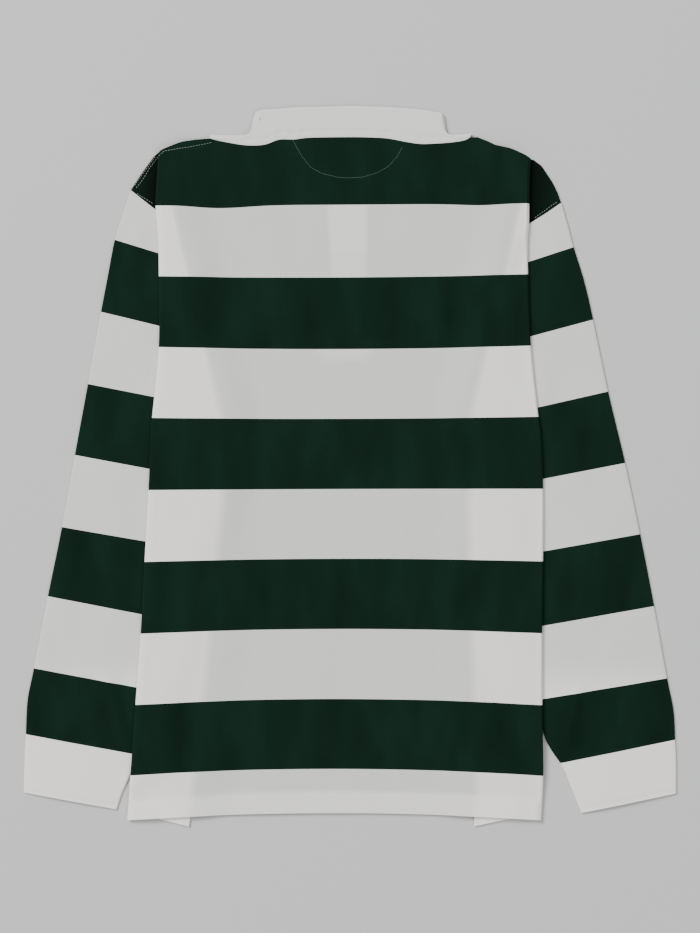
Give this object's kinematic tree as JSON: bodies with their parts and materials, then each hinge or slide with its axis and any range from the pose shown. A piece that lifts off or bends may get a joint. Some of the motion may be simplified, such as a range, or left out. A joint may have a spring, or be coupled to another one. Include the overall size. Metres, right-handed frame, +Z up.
{
  "type": "rugby shirt",
  "caption": "Long-sleeved hooped rugby shirt laid flat on its front, sides turned under, with a white turn-down collar and white cuffs.",
  "frame": {"origin": "centre of the bounding box on the surface the shirt lies on", "axes": "+Y from hem to collar, +X to the wearer's right, +Z up out of the back of the shirt"},
  "size_m": [0.701, 0.7741, 0.0105],
  "materials": {
    "hooped_jersey": "matte cotton jersey in dark green and white hoops",
    "green_jersey": "matte cotton jersey",
    "white_rib": "matte cotton rib",
    "white_twill": "matte cotton twill"
  },
  "bodies": {
    "root": {"back_panel": "hooped_jersey", "front_panel": "hooped_jersey", "sleeve_left": "hooped_jersey", "sleeve_right": "hooped_jersey", "neck_patch": "green_jersey", "cuff_left": "white_rib", "cuff_right": "white_rib", "collar": "white_twill", "placket": "white_twill"}
  },
  "joints": []
}
